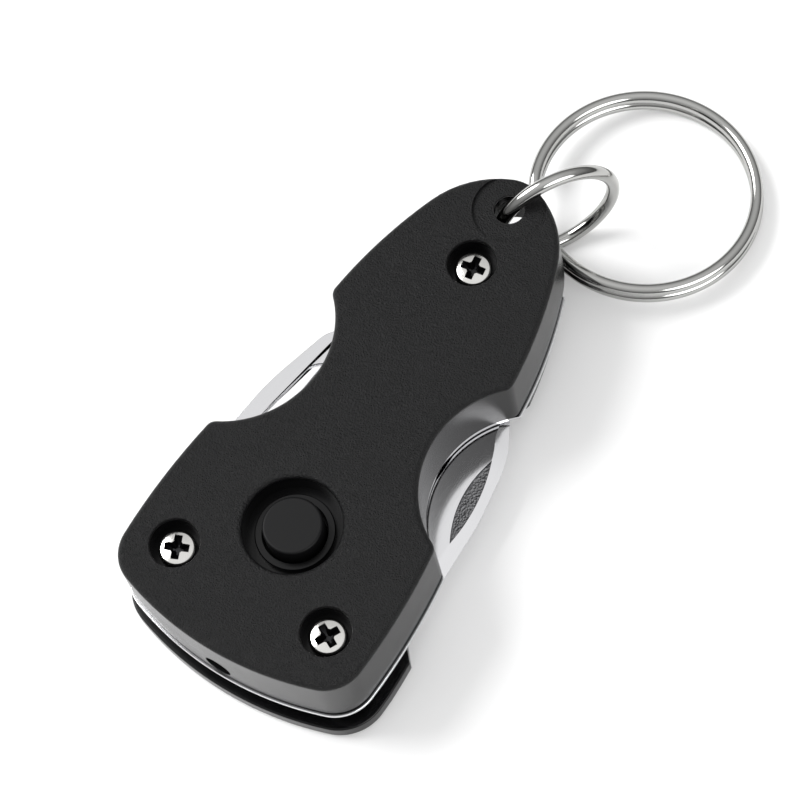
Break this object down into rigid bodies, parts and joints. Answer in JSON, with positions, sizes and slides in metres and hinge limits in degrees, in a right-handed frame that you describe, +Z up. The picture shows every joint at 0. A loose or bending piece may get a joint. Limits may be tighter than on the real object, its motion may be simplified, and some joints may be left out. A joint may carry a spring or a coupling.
{
  "type": "multi tool",
  "caption": "Keychain pocket tool: waisted black housing with a lamp and push button, folding blade, opener and screwdrivers, jump ring and split key ring.",
  "frame": {"origin": "on the underside of the bottom cover, half way along the housing", "axes": "+X across the housing, +Y along it towards the key ring, +Z up through the push button"},
  "size_m": [0.0398, 0.0906, 0.0168],
  "materials": {
    "housing_black": "satin moulded black plastic with a fine grain",
    "button_black": "matt black",
    "tool_steel": "polished stainless steel sheet",
    "screw_steel": "nickel-plated steel",
    "ring_steel": "nickel-plated steel wire",
    "plate_steel": "bright rolled steel sheet",
    "contact_tin": "tin-plated spring strip",
    "cell_steel": "nickel-plated can",
    "lamp_clear": "water-clear epoxy",
    "board_green": "green solder mask"
  },
  "bodies": {
    "housing": {"top_cover": "housing_black", "bottom_cover": "housing_black", "upper_liner": "plate_steel", "centre_spacer": "housing_black", "left_pivot_barrel": "plate_steel", "right_pivot_barrel": "plate_steel", "tip_barrel": "plate_steel", "left_pivot_screw": "screw_steel", "right_pivot_screw": "screw_steel", "tip_screw": "screw_steel", "circuit_board": "board_green", "tact_switch": "plate_steel", "led_lamp": "lamp_clear", "lamp_leg_left": "contact_tin", "lamp_leg_right": "contact_tin", "battery_tray": "housing_black", "coin_cell_1": "cell_steel", "coin_cell_2": "cell_steel", "negative_contact": "contact_tin", "positive_contact": "contact_tin"},
    "knife": {"knife_blade": "tool_steel"},
    "opener": {"bottle_opener": "tool_steel"},
    "flat_driver": {"flat_screwdriver": "tool_steel"},
    "phillips_driver": {"phillips_screwdriver": "tool_steel"},
    "button": {"push_button": "button_black"},
    "jump_ring": {"jump_ring": "ring_steel"},
    "key_ring": {"key_ring": "ring_steel"}
  },
  "joints": [
    {"name": "knife_hinge", "type": "hinge", "parent": "housing", "child": "knife", "pos_m": [0.0102, -0.0247, 0.0045], "axis": [0, 0, -1], "range_deg": [0, 180]},
    {"name": "opener_hinge", "type": "hinge", "parent": "housing", "child": "opener", "pos_m": [-0.0102, -0.0247, 0.0045], "axis": [0, 0, 1], "range_deg": [0, 180]},
    {"name": "flat_driver_hinge", "type": "hinge", "parent": "housing", "child": "flat_driver", "pos_m": [-0.0102, -0.0247, 0.00315], "axis": [0, 0, 1], "range_deg": [0, 180]},
    {"name": "phillips_driver_hinge", "type": "hinge", "parent": "housing", "child": "phillips_driver", "pos_m": [0.0102, -0.0247, 0.00315], "axis": [0, 0, -1], "range_deg": [0, 180]},
    {"name": "button_press", "type": "slide", "parent": "housing", "child": "button", "axis": [0, 0, -1], "range_m": [0, 0.0006], "stiffness_N_per_m": 800},
    {"name": "jump_ring_swivel", "type": "hinge", "parent": "housing", "child": "jump_ring", "pos_m": [0, 0.029, 0.0095], "axis": [0, 0, 1], "range_deg": [-8, 45]},
    {"name": "key_ring_flap", "type": "hinge", "parent": "jump_ring", "child": "key_ring", "pos_m": [0.00199, 0.03206, 0.00375], "axis": [0.8387, -0.5446, 0], "range_deg": [-40, 40]}
  ]
}
